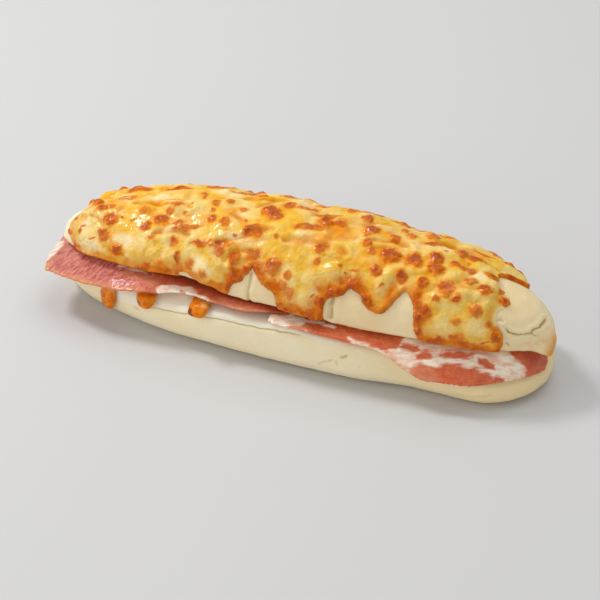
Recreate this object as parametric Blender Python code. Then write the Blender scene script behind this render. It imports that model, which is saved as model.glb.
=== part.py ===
"""Bacon cheese panini: a long soft roll split lengthwise, two slices of bacon and a thin sheet of melted
cheese in the split, and a thick skin of browned cheese baked onto the crown.

Frame: +X along the roll, -Y towards the open side of the split, +Z up, the base on Z = 0. Metres.
"""

import bmesh
import bpy
import numpy as np
from mathutils import Vector

# ---- Driving dimensions ------------------------------------------------------------------------------

HEEL_LENGTH = 0.2068
HEEL_WIDTH = 0.0644
HEEL_HEIGHT = 0.0205            # cut face of the heel, away from its drooping edges
HEEL_BLUNT = (2.9, 4.9)         # exponents of the plan outline, at the -X and +X ends
HEEL_TAPER = 0.06               # change of half width towards +X
BELLY = 0.010                   # share of the width gained at the belly
PINCH = 0.030                   # and lost at the waist
HEEL_PINCH = 0.110              # share that the heel alone loses there on its open side
BASE_INSET = 0.0085             # the flat base stops this far inside the outline

CROWN_LENGTH = 0.2076
CROWN_WIDTH = 0.0545
CROWN_RISE = 0.0211             # dome height above the crown's lip
CROWN_BLUNT = (2.0, 2.7)
CROWN_TAPER = 0.03
CROWN_DRIFT = 0.0036            # the crown's -X end lies this much nearer the open side
LIP_LIFT = 0.0034               # the crown's lip rises off the bacon left of the middle
LIP_HEIGHT = 0.0012             # bare side wall of the crown below the dome

END_SINK = 0.0040               # the split runs this much lower at the two ends
SHOULDER = 0.0105               # width of the drooping edge of the cut face
LEFT_DROOP = 0.0046
MIDDLE_DROOP = 0.0010
RIGHT_DROOP = 0.0094

BACON_THICKNESS = 0.0020
SHEET_THICKNESS = 0.0012        # melted cheese under the left slice
TOPPING_THICKNESS = 0.0022
TOPPING_RIM = 0.0010            # extra thickness along the topping's edge
GAP = 0.0004                    # clearance between neighbouring solids
TOPPING_GAP = 0.0005
CHORD_LIFT = 0.21               # extra gap where a wide facet of the topping spans the dome's curve
BEND_GAP = 0.0003               # more of it where a slice bends over the shoulder
EAR = 0.0028                    # crumb that juts from the crown's lip at the +X tip
EAR_DROOP = 0.0018              # and hangs this much below it

# Bread that shows through the topping on the open side: place along the roll, half width, share of the dome.
NOTCHES = ((-0.0390, 0.0060, 0.035), (-0.0128, 0.0080, 0.210), (0.0262, 0.0085, 0.190),
           (0.0375, 0.0150, 0.035), (0.0492, 0.0065, 0.330))
TOPPING_START = -0.0960         # ends of the topping along the roll: the crown is bare beyond them
TOPPING_END = 0.0865

# Melted cheese that has run over the heel's edge: place along the roll, half width, lowest height.
DRIPS = ((-0.0742, 0.0038, 0.0060), (-0.0560, 0.0041, 0.0134), (-0.0322, 0.0043, 0.0172))
DRIP_THICKNESS = 0.0019

HEEL_STEPS = 80                 # points round the heel's outline
CROWN_STEPS = 64                # and round the crown's
TOPPING_COLUMNS = 84            # points along the topping
TOPPING_ROWS = 13               # and across it
CROWDING = 1.13                 # how much closer the topping's points lie near its two ends


# ---- Shape functions ---------------------------------------------------------------------------------

def smooth(low, high, value):
    """0 below low, 1 above high, with a soft S between them; low may be the larger."""
    t = np.clip((np.asarray(value, float) - low) / (high - low), 0.0, 1.0)
    return t * t * (3.0 - 2.0 * t)


def bell(value, centre, half_width):
    """A soft bump of height 1 at centre, 0 beyond half_width."""
    t = np.clip(np.abs(np.asarray(value, float) - centre) / half_width, 0.0, 1.0)
    return (1.0 - t * t) ** 2


class Outline:
    """A long plan outline: half width = W/2 * sqrt(1 - |u|^n) * (1 + taper*u), with u = x / (L/2)."""

    def __init__(self, length, width, blunt, taper, pinch=0.0, drift=0.0):
        self.half = length / 2
        self.side = width / 2
        self.blunt = blunt
        self.taper = taper
        self.pinch = pinch
        self.drift = drift
        angle = np.linspace(0.0, 2 * np.pi, 1441)
        x, y = self.at(angle)
        travelled = np.concatenate([[0.0], np.cumsum(np.hypot(np.diff(x), np.diff(y)))])
        self.turns = (travelled / travelled[-1], angle)

    def waist(self, x, open_side):
        """The roll is a little fuller left of its middle and pinched right of it, most on its open side."""
        pinch = PINCH * bell(x, 0.042, 0.035) + self.pinch * bell(x, 0.060, 0.030) * open_side
        return 1 + BELLY * bell(x, -0.018, 0.045) - pinch

    def middle(self, x):
        """Y of the outline's middle line at x."""
        return -self.drift * smooth(-0.045, -0.090, x)

    def angles(self, count):
        """Angles whose points lie evenly spaced along the outline."""
        return np.interp(np.arange(count) / count, *self.turns)

    def at(self, angle, ring=1.0):
        """The plan point at an angle, on the outline or on a level ring inside it."""
        cosine, sine = np.cos(angle), np.sin(angle)
        power = np.where(cosine < 0, 2 / self.blunt[0], 2 / self.blunt[1])
        x = self.half * np.sign(cosine) * (ring * np.abs(cosine)) ** power
        y = self.side * ring * sine * (1 + self.taper * x / self.half) * self.waist(x, sine < 0)
        return x, y + self.middle(x)

    def half_width(self, x, open_side=False):
        """Half width of the outline at x, on its open side or on the other."""
        u = np.clip(x / self.half, -0.999, 0.999)
        blunt = np.where(u < 0, self.blunt[0], self.blunt[1])
        return self.side * np.sqrt(1 - np.abs(u) ** blunt) * (1 + self.taper * u) * self.waist(x, open_side)

    def normal(self, angle):
        """Unit outward normal of the outline in plan."""
        step = 1e-3
        x0, y0 = self.at(angle - step)
        x1, y1 = self.at(angle + step)
        dx, dy = x1 - x0, y1 - y0
        length = np.hypot(dx, dy) + 1e-12
        return dy / length, -dx / length

    def ring(self, x, y):
        """Which level ring a plan point lies on: 0 in the middle, 1 on the outline."""
        u = x / self.half
        y = y - self.middle(x)
        v = y / (self.side * (1 + self.taper * np.clip(u, -1.2, 1.2)) * self.waist(x, y < 0))
        blunt = np.where(u < 0, self.blunt[0], self.blunt[1])
        return np.sqrt(np.abs(u) ** blunt + v * v + 1e-9)

    def inset(self, x, y):
        """Distance of a plan point inside the outline, negative outside it."""
        step = 1e-4
        slope_x = (self.ring(x + step, y) - self.ring(x - step, y)) / (2 * step)
        slope_y = (self.ring(x, y + step) - self.ring(x, y - step)) / (2 * step)
        return (1 - self.ring(x, y)) / (np.hypot(slope_x, slope_y) + 1.0)


HEEL = Outline(HEEL_LENGTH, HEEL_WIDTH, HEEL_BLUNT, HEEL_TAPER, pinch=HEEL_PINCH)
SPLIT = Outline(HEEL_LENGTH, HEEL_WIDTH, HEEL_BLUNT, HEEL_TAPER)        # of the cut and what lies in it
CROWN = Outline(CROWN_LENGTH, CROWN_WIDTH, CROWN_BLUNT, CROWN_TAPER, drift=CROWN_DRIFT)


def droop_depth(x):
    """How far the cut face sinks at the heel's front edge, along the roll."""
    left = LEFT_DROOP * smooth(-0.020, -0.048, x)
    right = RIGHT_DROOP * smooth(0.022, 0.068, x)
    return MIDDLE_DROOP + left + right


def split_height(x):
    """Height of the split along the roll: level, and lower towards both ends."""
    return HEEL_HEIGHT - END_SINK * np.clip((np.abs(x) / 0.102 - 0.55) / 0.45, 0.0, 1.1) ** 2


def shoulder_reach(x, y):
    """0 on the level part of the cut face, 1 on the outline of the split, more outside it."""
    narrow = 1 - 0.30 * smooth(0.085, 0.102, x)
    return np.clip(1 - SPLIT.inset(x, y) / (SHOULDER * narrow), 0.0, 1.45)


def cut_face(x, y):
    """Height of the heel's cut face, whose edges sink on the open side and at the +X end."""
    reach = shoulder_reach(x, y)
    open_side = smooth(0.012, -0.006, y)
    depth = MIDDLE_DROOP * (1 - open_side) + droop_depth(x) * open_side
    return split_height(x) - depth * reach ** 1.3


def stack_height(x):
    """Top of the filling above the cut face: cheese sheet and bacon, both slices of bacon, one slice."""
    one_slice = GAP + BACON_THICKNESS
    with_sheet = one_slice + GAP + SHEET_THICKNESS
    overlap = (one_slice - GAP - SHEET_THICKNESS) * smooth(-0.020, -0.008, x)
    return with_sheet + overlap - one_slice * smooth(0.011, 0.026, x)


def crown_floor(x, y, ring):
    """Underside of the crown: level across the roll, but for the lip that rises on the open side."""
    lift = LIP_LIFT * bell(x, -0.039, 0.022) * smooth(0.60, 1.0, ring) * smooth(-0.006, -0.018, y)
    return split_height(x) + stack_height(x) + 2 * GAP + lift


def dome_height(x, y, ring):
    """Height of the crown's dome over a plan point on a ring, 0 at the dome's top and 1 at its foot."""
    foot = crown_floor(x, y, ring) + LIP_HEIGHT
    peak = crown_floor(0.0, 0.0, 0.0) + LIP_HEIGHT + CROWN_RISE
    waves = 0.0007 * np.sin(52 * x + 1.0) * np.cos(70 * y) * (1 - ring ** 4)
    return foot + (peak - foot) * np.sqrt(np.clip(1 - ring ** 2, 0.0, 1.0)) + waves


def dome(angle, ring):
    x, y = CROWN.at(angle, ring)
    return np.stack([x, y, dome_height(x, y, ring)], axis=-1)


def dome_section(x, turn):
    """Point on the dome at x, where turn runs from -90 degrees at the open foot over the top to 90 behind."""
    y = CROWN.half_width(x) * np.sin(turn) + CROWN.middle(x)
    return np.stack([x, y, dome_height(x, y, CROWN.ring(x, y))], axis=-1)


def dome_normal(x, turn):
    """Outward unit normal of the dome, from neighbouring points on it."""
    turn = np.clip(turn, -1.55, 1.55)
    along = dome_section(x + 2e-4, turn) - dome_section(x - 2e-4, turn)
    across = dome_section(x, turn + 4e-3) - dome_section(x, turn - 4e-3)
    normal = np.cross(along, across)
    return normal / np.linalg.norm(normal, axis=-1, keepdims=True)


# ---- Mesh helpers ------------------------------------------------------------------------------------

def material(name, colour, roughness):
    made = bpy.data.materials.new(name)
    made.use_nodes = True
    shader = made.node_tree.nodes["Principled BSDF"]
    shader.inputs["Base Color"].default_value = (*colour, 1.0)
    shader.inputs["Roughness"].default_value = roughness
    shader.inputs["Metallic"].default_value = 0.0
    return made


def add_object(name, mesh, finish, collection, parent):
    mesh.materials.append(finish)
    mesh.shade_smooth()
    made = bpy.data.objects.new(name, mesh)
    made.parent = parent
    collection.objects.link(made)
    return made


def loaf_mesh(name, place, angles, levels):
    """A sphere's net laid over a loaf. place(angles, level) gives the points of one level, pole to pole."""
    shape = bmesh.new()
    bmesh.ops.create_uvsphere(shape, u_segments=len(angles), v_segments=levels, radius=1.0)
    points = np.stack([place(angles, level) for level in range(levels + 1)])
    for vertex in shape.verts:
        level = round((1 - np.arccos(np.clip(vertex.co.z, -1, 1)) / np.pi) * levels)
        turn = np.arctan2(vertex.co.y, vertex.co.x) / (2 * np.pi) * len(angles)
        vertex.co = points[level, round(turn) % len(angles)]
    bmesh.ops.recalc_face_normals(shape, faces=shape.faces)
    mesh = bpy.data.meshes.new(name)
    shape.to_mesh(mesh)
    shape.free()
    return mesh


def sheet_mesh(name, under, over):
    """A closed sheet between two grids of points of one size, its edges joined by a strip."""
    rows, columns = under.shape[:2]
    shape = bmesh.new()
    bmesh.ops.create_grid(shape, x_segments=columns - 1, y_segments=rows - 1, size=1.0)
    lower = list(shape.verts)
    for vertex in lower:
        column = round((vertex.co.x + 1) / 2 * (columns - 1))
        row = round((vertex.co.y + 1) / 2 * (rows - 1))
        vertex.co = under[row, column]
        vertex.index = row * columns + column
    cells = {vertex: vertex.index for vertex in lower}
    made = bmesh.ops.duplicate(shape, geom=list(shape.verts) + list(shape.edges) + list(shape.faces))
    for old, new in made["vert_map"].items():
        if old in cells:
            new.co = over[divmod(cells[old], columns)]
    rims = [edge for edge in shape.edges if edge.is_boundary]
    bmesh.ops.bridge_loops(shape, edges=rims)
    bmesh.ops.recalc_face_normals(shape, faces=shape.faces)
    mesh = bpy.data.meshes.new(name)
    shape.to_mesh(mesh)
    shape.free()
    return mesh


# ---- The roll ----------------------------------------------------------------------------------------

# The heel's side, from the flat base up to the rim: inset from the outline, share of the rim's height.
HEEL_SIDE = ((BASE_INSET, 0.0), (0.0048, 0.055), (0.0021, 0.17), (0.0005, 0.33),
             (0.0, 0.50), (0.0003, 0.70), (0.0010, 0.90))
RIM_INSET = 0.0022
CUT_FACE_INSETS = (RIM_INSET, 0.0052, 0.0095)
BASE_RINGS = (0.0, 0.42)
CUT_FACE_RINGS = (0.50, 0.25, 0.0)
SIDE_LEVELS = HEEL_SIDE + tuple((inset, None) for inset in CUT_FACE_INSETS)
HEEL_LEVELS = len(BASE_RINGS + SIDE_LEVELS + CUT_FACE_RINGS) - 1


def heel_point(angles, level):
    """Levels run from the middle of the flat base, out and up round the side, and in over the cut face."""
    if level < len(BASE_RINGS):
        x, y = HEEL.at(angles, BASE_RINGS[level])
        return np.stack([x, y, 0.0 * x], axis=-1)
    level = level - len(BASE_RINGS)
    if level >= len(SIDE_LEVELS):
        x, y = HEEL.at(angles, CUT_FACE_RINGS[level - len(SIDE_LEVELS)])
        return np.stack([x, y, cut_face(x, y)], axis=-1)
    inset, height = SIDE_LEVELS[level]
    x, y = HEEL.at(angles)
    out_x, out_y = HEEL.normal(angles)
    edge_x, edge_y = x - RIM_INSET * out_x, y - RIM_INSET * out_y
    x, y = x - inset * out_x, y - inset * out_y
    z = cut_face(x, y) if height is None else height * cut_face(edge_x, edge_y)
    return np.stack([x, y, z], axis=-1)


# The crown: rings of its underside, then inset, height and share of the ear for the levels of its lip.
UNDERSIDE_RINGS = (0.0, 0.12, 0.28, 0.50, 0.72, 0.90)
LIP_LEVELS = ((0.0022, 0.0, 0.0), (0.0012, 0.0, 1.0), (0.0003, LIP_HEIGHT, 1.0))
DOME_LEVEL = len(UNDERSIDE_RINGS) + len(LIP_LEVELS)
CROWN_LEVELS = DOME_LEVEL + 11


def crown_point(angles, level):
    """Levels run from the middle of the underside, out to the lip, up the side wall and over the dome."""
    x, y = CROWN.at(angles)
    out_x, out_y = CROWN.normal(angles)
    floor = crown_floor(x, y, 1.0)
    if level < len(UNDERSIDE_RINGS):
        x, y = CROWN.at(angles, UNDERSIDE_RINGS[level])
        return np.stack([x, y, crown_floor(x, y, UNDERSIDE_RINGS[level])], axis=-1)
    if level < DOME_LEVEL:
        inset, height, share = LIP_LEVELS[level - len(UNDERSIDE_RINGS)]
        ear = share * bell(y, -0.0045, 0.0062) * (x > 0)
        inset = inset - EAR * ear
        z = floor + height - EAR_DROOP * ear
        return np.stack([x - inset * out_x, y - inset * out_y, z], axis=-1)
    ring = np.sin(np.pi / 2 * (CROWN_LEVELS - level) / (CROWN_LEVELS - DOME_LEVEL))
    return dome(angles, ring)


# ---- The topping -------------------------------------------------------------------------------------

def topping_turn(x, ring):
    """The turn at which a section of the dome reaches a ring."""
    end_ring = CROWN.ring(x, CROWN.middle(x))
    side = np.sqrt(np.clip(ring ** 2 - end_ring ** 2, 0.0, None) / np.clip(1 - end_ring ** 2, 1e-6, None))
    return np.arcsin(np.clip(side, 0.12, 0.999))


def open_edge(x):
    """The ring that the topping reaches on the open side: the foot, less the notches that bare the bread."""
    ring = 0.996 - 0.006 * np.sin(210 * x + 2.0) ** 2
    for centre, half_width, depth in NOTCHES:
        ring = ring - depth * bell(x, centre, half_width)
    return ring


def back_edge(x):
    return 0.968 + 0.014 * np.sin(95 * x + 0.6) + 0.010 * np.sin(210 * x + 2.0)


def topping_relief(x, y):
    """Slanting ridges and furrows of the baked cheese."""
    slant = 0.85 * y + 0.38 * x
    ridges = 0.0009 * np.sin(430 * slant + 2.2 * np.sin(60 * x))
    swells = 0.0006 * np.sin(120 * x - 150 * y + 0.8)
    return ridges + swells


def topping_mesh():
    spread = np.sin(np.linspace(-1, 1, TOPPING_COLUMNS) * CROWDING)
    middle = (TOPPING_START + TOPPING_END) / 2
    along = middle + (TOPPING_END - TOPPING_START) / 2 * spread / spread[-1]
    across = np.linspace(0, 1, TOPPING_ROWS)
    x = np.broadcast_to(along, (TOPPING_ROWS, TOPPING_COLUMNS))
    first, last = -topping_turn(along, open_edge(along)), topping_turn(along, back_edge(along))
    turn = first + (last - first) * across[:, None]
    base, normal = dome_section(x, turn), dome_normal(x, turn)
    side = CROWN.half_width(x)
    from_edge = np.minimum(turn - first, last - turn) * side
    from_end = np.minimum(x - TOPPING_START, TOPPING_END - x) + 0.0 * turn
    inside = np.minimum(from_edge, from_end)
    rim = TOPPING_RIM * bell(inside, 0.0030, 0.0040)
    relief = topping_relief(x, base[..., 1]) * smooth(0.0, 0.008, inside)
    body = TOPPING_THICKNESS * (0.55 + 0.45 * smooth(0.0, 0.024, from_end))
    thick = body * (0.45 + 0.55 * smooth(0.0, 0.0015, inside)) + rim + relief
    swing = np.abs(np.gradient(turn, axis=1))
    lift = (TOPPING_GAP + CHORD_LIFT * CROWN.side * swing ** 2)[..., None]
    under = base + lift * normal
    over = base + (lift + np.maximum(thick, 0.0009)[..., None]) * normal
    return sheet_mesh("cheese_topping", under, over)


# ---- The filling -------------------------------------------------------------------------------------

def slice_grid(start, end, front, back, columns, rows):
    """Plan points of a slice. start and end give its ends by y, front and back its long edges by x."""
    along, across = np.meshgrid(np.linspace(0, 1, columns), np.linspace(0, 1, rows) ** 1.15)
    x = -0.1 + 0.2 * along
    y = np.zeros_like(x)
    for _ in range(12):
        y = front(x) + (back(x) - front(x)) * across
        x = start(y) + (end(y) - start(y)) * along
    return x, y


def slice_floor(x, y, under):
    """Underside of a slice: on the level cut face and what lies there, sagging past the crown's lip."""
    hugging = 0.33 + 0.67 * smooth(-0.020, 0.045, x)
    level = split_height(x)
    sag = (level - cut_face(x, y)) * hugging
    curl = 0.0004 * np.sin(260 * x + 70 * y) * smooth(-0.020, -0.032, y) * smooth(0.02, -0.01, x)
    bend = BEND_GAP * (1 + 1.4 * smooth(0.02, 0.07, x)) * smooth(0.0, 0.2, shoulder_reach(x, y))
    return level + GAP + bend + under - sag + curl


def slice_mesh(name, x, y, under):
    lower = slice_floor(x, y, under)
    edge = np.minimum.reduce(np.broadcast_arrays(
        np.arange(x.shape[0])[:, None], np.arange(x.shape[0])[::-1][:, None],
        np.arange(x.shape[1])[None, :], np.arange(x.shape[1])[::-1][None, :]))
    thin = np.where(edge == 0, 0.30, 0.0)
    base = np.stack([x, y, lower + thin * BACON_THICKNESS], axis=-1)
    over = np.stack([x, y, lower + (1 - thin) * BACON_THICKNESS], axis=-1)
    return sheet_mesh(name, base, over)


def left_front(x):
    bare = 0.0040 * smooth(-0.062, -0.042, x) - 0.0024 * smooth(-0.034, -0.018, x)
    return -0.0318 + bare + 0.0052 * smooth(-0.082, -0.101, x)


def left_slice():
    x, y = slice_grid(
        start=lambda y: -0.1056 + 0.0044 * smooth(-0.014, -0.030, y) + 0.017 * smooth(-0.002, 0.024, y),
        end=lambda y: 0.0075 + 0.003 * np.sin(80 * y),
        front=left_front,
        back=lambda x: np.minimum(0.0225 + 0.003 * np.sin(45 * x), SPLIT.half_width(x) + 0.003),
        columns=38, rows=10)
    step = (BACON_THICKNESS + GAP) * smooth(-0.016, -0.006, x)
    sheet = (SHEET_THICKNESS + GAP) * smooth(-0.004, -0.010, x)
    raised_end = 0.0005 * smooth(-0.070, -0.098, x)
    return slice_mesh("bacon_left", x, y, np.maximum(step, sheet) + raised_end)


def right_front(x):
    bare = 0.0010 * smooth(0.035, 0.020, x) + 0.0022 * bell(x, 0.041, 0.014)
    bare = bare + 0.0022 * smooth(0.076, 0.096, x)
    overhang = 0.0007 * bell(x, 0.062, 0.012)
    return bare - overhang - SPLIT.half_width(x)


def right_slice():
    x, y = slice_grid(
        start=lambda y: -0.0020 + 0.002 * np.sin(90 * y),
        end=lambda y: 0.1020 - 0.010 * smooth(-0.002, 0.022, y),
        front=right_front,
        back=lambda x: np.minimum(0.0230 - 0.002 * np.sin(50 * x), SPLIT.half_width(x) - 0.002),
        columns=38, rows=11)
    return slice_mesh("bacon_right", x, y, 0.0)


def sheet_front(x):
    return -0.0235 + 0.0070 * smooth(-0.058, -0.088, x)


def sheet_of_cheese():
    x, y = slice_grid(
        start=lambda y: -0.0830 + 0.010 * smooth(0.002, 0.022, y),
        end=lambda y: -0.0185 + 0.0 * y,
        front=sheet_front,
        back=lambda x: 0.0205 + 0.0 * x,
        columns=18, rows=8)
    base = np.stack([x, y, cut_face(x, y) + GAP + BEND_GAP * smooth(0.0, 0.2, shoulder_reach(x, y))], axis=-1)
    return sheet_mesh("cheese_filling", base, base + np.array([0.0, 0.0, SHEET_THICKNESS]))


def heel_side(x, height):
    """Y of the heel's open side at a height, from its side profile."""
    rim = cut_face(x, -HEEL.half_width(x, True) + RIM_INSET)
    inset = np.interp(height / rim, [share for _, share in HEEL_SIDE], [inset for inset, _ in HEEL_SIDE])
    slope = (HEEL.half_width(x + 1e-3, True) - HEEL.half_width(x - 1e-3, True)) / 2e-3
    return -HEEL.half_width(x, True) + inset * np.hypot(1.0, slope)


def drip_mesh(name, centre, half_width, lowest):
    """A tongue from inside the sheet, over the heel's rim and down its side, thick at its round end."""
    across = np.linspace(-1, 1, 7)
    rows_under, rows_over = [], []
    for share in np.linspace(0, 1, 9):
        rounded = np.sqrt(1 - 0.65 * smooth(0.70, 1.05, share))
        x = centre + half_width * across * (0.95 + 0.15 * share) * rounded
        rim_y = -HEEL.half_width(x, True) + RIM_INSET
        rim_z = cut_face(x, rim_y)
        if share <= 0.5:
            y = sheet_front(x) + 0.0025 + (rim_y + 0.0003 - sheet_front(x) - 0.0025) * share / 0.5
            foot = np.stack([x, y, cut_face(x, y)], axis=-1)
            outward = np.array([0.0, -0.75, 1.0]) if share == 0.5 else np.array([0.0, 0.0, 1.0])
        else:
            fall = (share - 0.5) / 0.5
            z = rim_z - (rim_z - lowest) * fall
            foot = np.stack([x, heel_side(x, z), z], axis=-1)
            outward = np.array([0.0, -1.0, 0.30 * (1 - fall)])
        outward = outward / np.linalg.norm(outward)
        swell = 0.55 + 0.60 * share
        swell = swell * (1 - 0.4 * smooth(0.85, 1.0, share))
        depth = DRIP_THICKNESS * swell * np.sqrt(1 - (across * 0.93) ** 2)
        clear = 0.00055 + 0.00045 * (share == 0.5)
        rows_under.append(foot + clear * outward)
        rows_over.append(foot + (clear + 0.0003 + depth)[:, None] * outward)
    return sheet_mesh(name, np.array(rows_under), np.array(rows_over))


# ---- Assembly ----------------------------------------------------------------------------------------

def add_filling(finish, collection, parent):
    """The sheet of cheese with its drips, joined into one body."""
    filling = add_object("cheese_filling", sheet_of_cheese(), finish, collection, parent)
    cutters = bpy.data.collections.new("drips")
    bpy.context.scene.collection.children.link(cutters)
    for number, (centre, half_width, lowest) in enumerate(DRIPS, 1):
        name = f"drip_{number}"
        add_object(name, drip_mesh(name, centre, half_width, lowest), finish, cutters, parent)
    union = filling.modifiers.new("drips", "BOOLEAN")
    union.operation = "UNION"
    union.operand_type = "COLLECTION"
    union.collection = cutters
    bpy.context.view_layer.update()
    joined = bpy.data.meshes.new_from_object(filling.evaluated_get(bpy.context.evaluated_depsgraph_get()))
    filling.modifiers.clear()
    filling.data = joined
    for drip in list(cutters.objects):
        bpy.data.objects.remove(drip, do_unlink=True)
    bpy.data.collections.remove(cutters)


def middle_of(collection):
    """Middle of the roll's box in plan, so that the finished roll can be centred on the origin."""
    corners = [corner for thing in collection.objects if thing.type == "MESH" for corner in thing.bound_box]
    lowest, highest = np.min(corners, axis=0), np.max(corners, axis=0)
    return Vector(((lowest[0] + highest[0]) / 2, (lowest[1] + highest[1]) / 2, 0.0))


def main():
    for thing in list(bpy.data.objects):
        bpy.data.objects.remove(thing, do_unlink=True)
    collection = bpy.data.collections.new("panini")
    bpy.context.scene.collection.children.link(collection)
    centre = bpy.data.objects.new("panini_centre", None)
    collection.objects.link(centre)

    bread = material("soft_bread", (0.86, 0.79, 0.62), 0.75)
    bacon = material("bacon", (0.62, 0.20, 0.17), 0.40)
    browned = material("browned_cheese", (0.88, 0.58, 0.16), 0.35)
    melted = material("melted_cheese", (0.80, 0.44, 0.08), 0.30)

    heel = loaf_mesh("bun_bottom", heel_point, HEEL.angles(HEEL_STEPS), HEEL_LEVELS)
    crown = loaf_mesh("bun_top", crown_point, CROWN.angles(CROWN_STEPS), CROWN_LEVELS)
    add_object("bun_bottom", heel, bread, collection, centre)
    add_object("bun_top", crown, bread, collection, centre)
    add_object("cheese_topping", topping_mesh(), browned, collection, centre)
    add_filling(melted, collection, centre)
    add_object("bacon_left", left_slice(), bacon, collection, centre)
    add_object("bacon_right", right_slice(), bacon, collection, centre)
    centre.location = -middle_of(collection)


main()
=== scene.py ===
"""Bacon cheese panini: looks, floor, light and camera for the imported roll.

Frame: +X along the roll, -Y towards the open side of the split, +Z up, the base on Z = 0.
The frame is in metres. Shape code works in millimetres and writes metres.
On the crown, a is the place along it in mm, theta the angle from its top in degrees, positive
on the open side, and arc the way up from its lip in mm.
"""
import math

import bpy
import numpy as np
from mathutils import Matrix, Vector
from mathutils.bvhtree import BVHTree


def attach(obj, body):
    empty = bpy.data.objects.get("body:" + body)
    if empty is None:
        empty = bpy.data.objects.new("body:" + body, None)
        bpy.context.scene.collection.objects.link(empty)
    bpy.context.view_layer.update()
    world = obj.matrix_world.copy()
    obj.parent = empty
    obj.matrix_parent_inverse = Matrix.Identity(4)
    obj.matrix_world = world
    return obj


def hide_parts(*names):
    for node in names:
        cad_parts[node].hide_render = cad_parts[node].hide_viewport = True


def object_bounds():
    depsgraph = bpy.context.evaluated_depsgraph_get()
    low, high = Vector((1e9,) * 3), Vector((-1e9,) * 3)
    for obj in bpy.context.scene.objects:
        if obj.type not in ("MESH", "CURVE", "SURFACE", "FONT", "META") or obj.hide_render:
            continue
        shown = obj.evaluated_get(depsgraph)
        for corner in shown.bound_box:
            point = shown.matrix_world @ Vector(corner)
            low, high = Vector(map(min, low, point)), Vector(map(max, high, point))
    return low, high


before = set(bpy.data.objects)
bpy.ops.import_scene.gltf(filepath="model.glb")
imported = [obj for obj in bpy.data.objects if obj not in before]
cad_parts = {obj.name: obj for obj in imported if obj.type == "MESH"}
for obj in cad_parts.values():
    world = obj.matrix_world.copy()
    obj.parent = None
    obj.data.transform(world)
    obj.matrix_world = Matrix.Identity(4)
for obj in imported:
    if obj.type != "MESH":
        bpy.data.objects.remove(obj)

CAD_BOX = [list(corner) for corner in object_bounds()]
MM = 1000  # in a metre
BOX_LOW, BOX_HIGH = (np.array(corner) * MM for corner in CAD_BOX)
BOX_MARGIN = .03  # mm that every piece stays inside the CAD box


# ---- Shape functions ----

def smooth(low, high, value):
    """0 below low, 1 above high, with a soft S between them; low may be the larger."""
    t = unit((np.asarray(value, float) - low) / (high - low))
    return t * t * (3 - 2 * t)


def unit(value):
    return np.clip(value, 0, 1)


def bell(value, centre, half_width):
    """1 at centre, 0 from half_width away."""
    t = unit(np.abs(np.asarray(value, float) - centre) / half_width)
    return (1 - t * t) ** 2


def hump(value, width):
    """1 at value 0, falling away over width on both sides."""
    return np.exp(-(value / width) ** 2)


HASH_AXES = (0x8DA6B343, 0xD8163841, 0xCB1AB31F)  # odd factors, one an axis
HASH_ROUNDS = ((13, 0x5BD1E995), (15, 0x27D4EB2D))  # shift and factor
HASH_BITS = 10  # of the number, for each axis of a slope


def lattice(cell, seed):
    """A well mixed whole number for each lattice point (n, 3)."""
    mixed = np.uint32(seed * 7919 + 17)
    for axis, factor in enumerate(HASH_AXES):
        mixed = mixed ^ cell[:, axis].astype(np.uint32) * np.uint32(factor)
    for shift, factor in HASH_ROUNDS:
        mixed = (mixed ^ (mixed >> np.uint32(shift))) * np.uint32(factor)
    return mixed ^ (mixed >> np.uint32(14))


def noise(points, seed=0):
    """Gradient noise of about -1 to 1 at points (n, 3), one feature a unit."""
    cell = np.floor(points).astype(np.int64)
    part = points - cell
    ease = part * part * part * (part * (part * 6 - 15) + 10)
    total = np.zeros(len(points))
    largest = 2 ** HASH_BITS - 1
    for corner in range(8):
        step = np.array([corner & 1, corner >> 1 & 1, corner >> 2 & 1])
        mixed = lattice(cell + step, seed)
        slope = [mixed >> np.uint32(axis * HASH_BITS) & largest for axis in range(3)]
        slope = np.stack(slope, -1) / (largest / 2) - 1
        weight = np.where(step, ease, 1 - ease).prod(axis=1)
        total += weight * (slope * (part - step)).sum(axis=1)
    return total * 1.5


def pair(points, seed):
    """Two noises side by side, to bend a plane with."""
    return np.stack([noise(points, seed), noise(points, seed + 1)], -1)


def noise_along(x, size, seed):
    """Noise that changes along the roll only."""
    return noise(np.stack([x, 0 * x, 0 * x], -1) / size, seed)


def fractal(points, size, octaves=2, seed=0):
    """Layers of noise, the largest features size across, each layer half the one before."""
    total, share, whole = 0, 1, 0
    for octave in range(octaves):
        total = total + share * noise(points / np.asarray(size, float) * 2 ** octave,
                                      seed + octave * 11)
        whole += share
        share *= .5
    return total / whole


# ---- Polylines in a plane ----

def distance_to_path(points, path):
    """Distance of plane points (n, 2) to a polyline, and the place along it as 0..1."""
    path = np.asarray(path, float)
    best = np.full(len(points), np.inf)
    place = np.zeros(len(points))
    lengths = np.hypot(*np.diff(path, axis=0).T)
    starts = np.concatenate([[0], np.cumsum(lengths)])
    for start, end, length, so_far in zip(path[:-1], path[1:], lengths, starts):
        along = unit(((points - start) @ (end - start)) / (length ** 2 + 1e-12))
        gap = np.hypot(*(points - start - along[:, None] * (end - start)).T)
        nearer = gap < best
        best = np.where(nearer, gap, best)
        place = np.where(nearer, (so_far + along * length) / starts[-1], place)
    return best, place


def inside_polygon(points, path):
    path = np.asarray(path, float)
    inside = np.zeros(len(points), bool)
    x, y = points.T
    for (x0, y0), (x1, y1) in zip(path, np.roll(path, -1, axis=0)):
        crosses = (y0 > y) != (y1 > y)
        with np.errstate(divide="ignore", invalid="ignore"):
            inside ^= crosses & (x < (x1 - x0) * (y - y0) / (y1 - y0) + x0)
    return inside


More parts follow.
